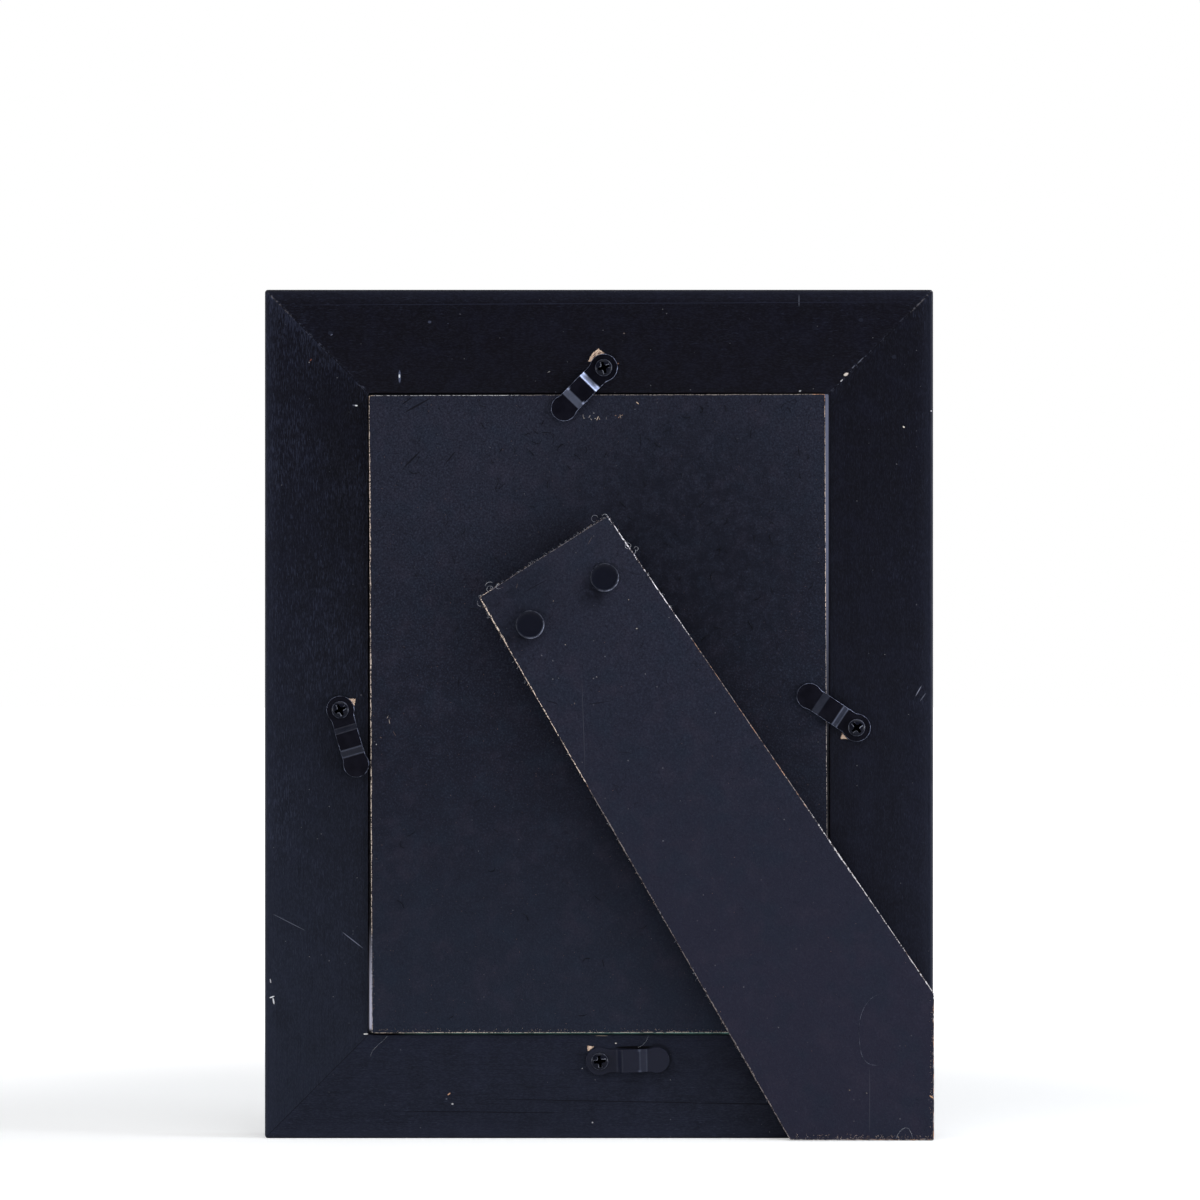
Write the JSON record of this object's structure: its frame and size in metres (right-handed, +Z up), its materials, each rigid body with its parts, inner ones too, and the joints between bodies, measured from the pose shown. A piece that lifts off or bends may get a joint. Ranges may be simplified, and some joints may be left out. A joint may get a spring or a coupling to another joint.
{
  "type": "easel back photo frame",
  "caption": "Upright mitred photo frame with a rebated glass, a fibreboard back held by turn buttons, and a hinged strut leg that folds flat behind it.",
  "frame": {"origin": "on the table, under the middle of the bottom rail's flat underside, halfway through the rails' depth", "axes": "+Z up along the frame's height, +Y out of the picture side, -Y out of the easel side, +X to the right as seen from behind"},
  "size_m": [0.1872, 0.0234, 0.2377],
  "materials": {
    "rail": "satin black paint over wood, worn pale at chips",
    "board": "blue-black dyed fibreboard with tan worn edges",
    "strut": "blue-black dyed fibreboard with frayed tan edges",
    "button": "gloss black on bent spring steel",
    "screw": "black oxide cross-head screw",
    "rivet": "gloss black with a bright rim",
    "hinge": "plain rolled steel",
    "nail": "plain blued steel",
    "glass": "clear float glass with a green ground edge",
    "paper": "plain matt sheet, bare"
  },
  "bodies": {
    "frame": {"frame_rail_top": "rail", "frame_rail_right": "rail", "frame_rail_bottom": "rail", "frame_rail_left": "rail", "mitre_nail_top_left": "nail", "mitre_nail_top_right": "nail", "mitre_nail_bottom_left": "nail", "mitre_nail_bottom_right": "nail", "glass_pane": "glass", "print_sheet": "paper", "back_board": "board", "hinge_board_leaf": "hinge", "hinge_pin": "hinge", "board_rivet_left": "rivet", "board_rivet_right": "rivet", "turn_button_screw_top": "screw", "turn_button_screw_right": "screw", "turn_button_screw_bottom": "screw", "turn_button_screw_left": "screw"},
    "strut": {"strut_leg": "strut", "hinge_strut_leaf": "hinge", "strut_rivet_left": "rivet", "strut_rivet_right": "rivet"},
    "top_button": {"turn_button_top": "button"},
    "right_button": {"turn_button_right": "button"},
    "bottom_button": {"turn_button_bottom": "button"},
    "left_button": {"turn_button_left": "button"}
  },
  "joints": [
    {"name": "strut_hinge", "type": "hinge", "parent": "frame", "child": "strut", "pos_m": [-0.0135, -0.01045, 0.1579], "axis": [-0.8453, 0, -0.5344], "range_deg": [0, 30]},
    {"name": "top_button_turn", "type": "hinge", "parent": "frame", "child": "top_button", "pos_m": [0.0013, -0.008, 0.2158], "axis": [0, -1, 0], "continuous": true},
    {"name": "right_button_turn", "type": "hinge", "parent": "frame", "child": "right_button", "pos_m": [0.0721, -0.008, 0.11505], "axis": [0, -1, 0], "continuous": true},
    {"name": "bottom_button_turn", "type": "hinge", "parent": "frame", "child": "bottom_button", "pos_m": [0.0002, -0.008, 0.0217], "axis": [0, -1, 0], "continuous": true},
    {"name": "left_button_turn", "type": "hinge", "parent": "frame", "child": "left_button", "pos_m": [-0.0724, -0.008, 0.12005], "axis": [0, -1, 0], "continuous": true}
  ]
}
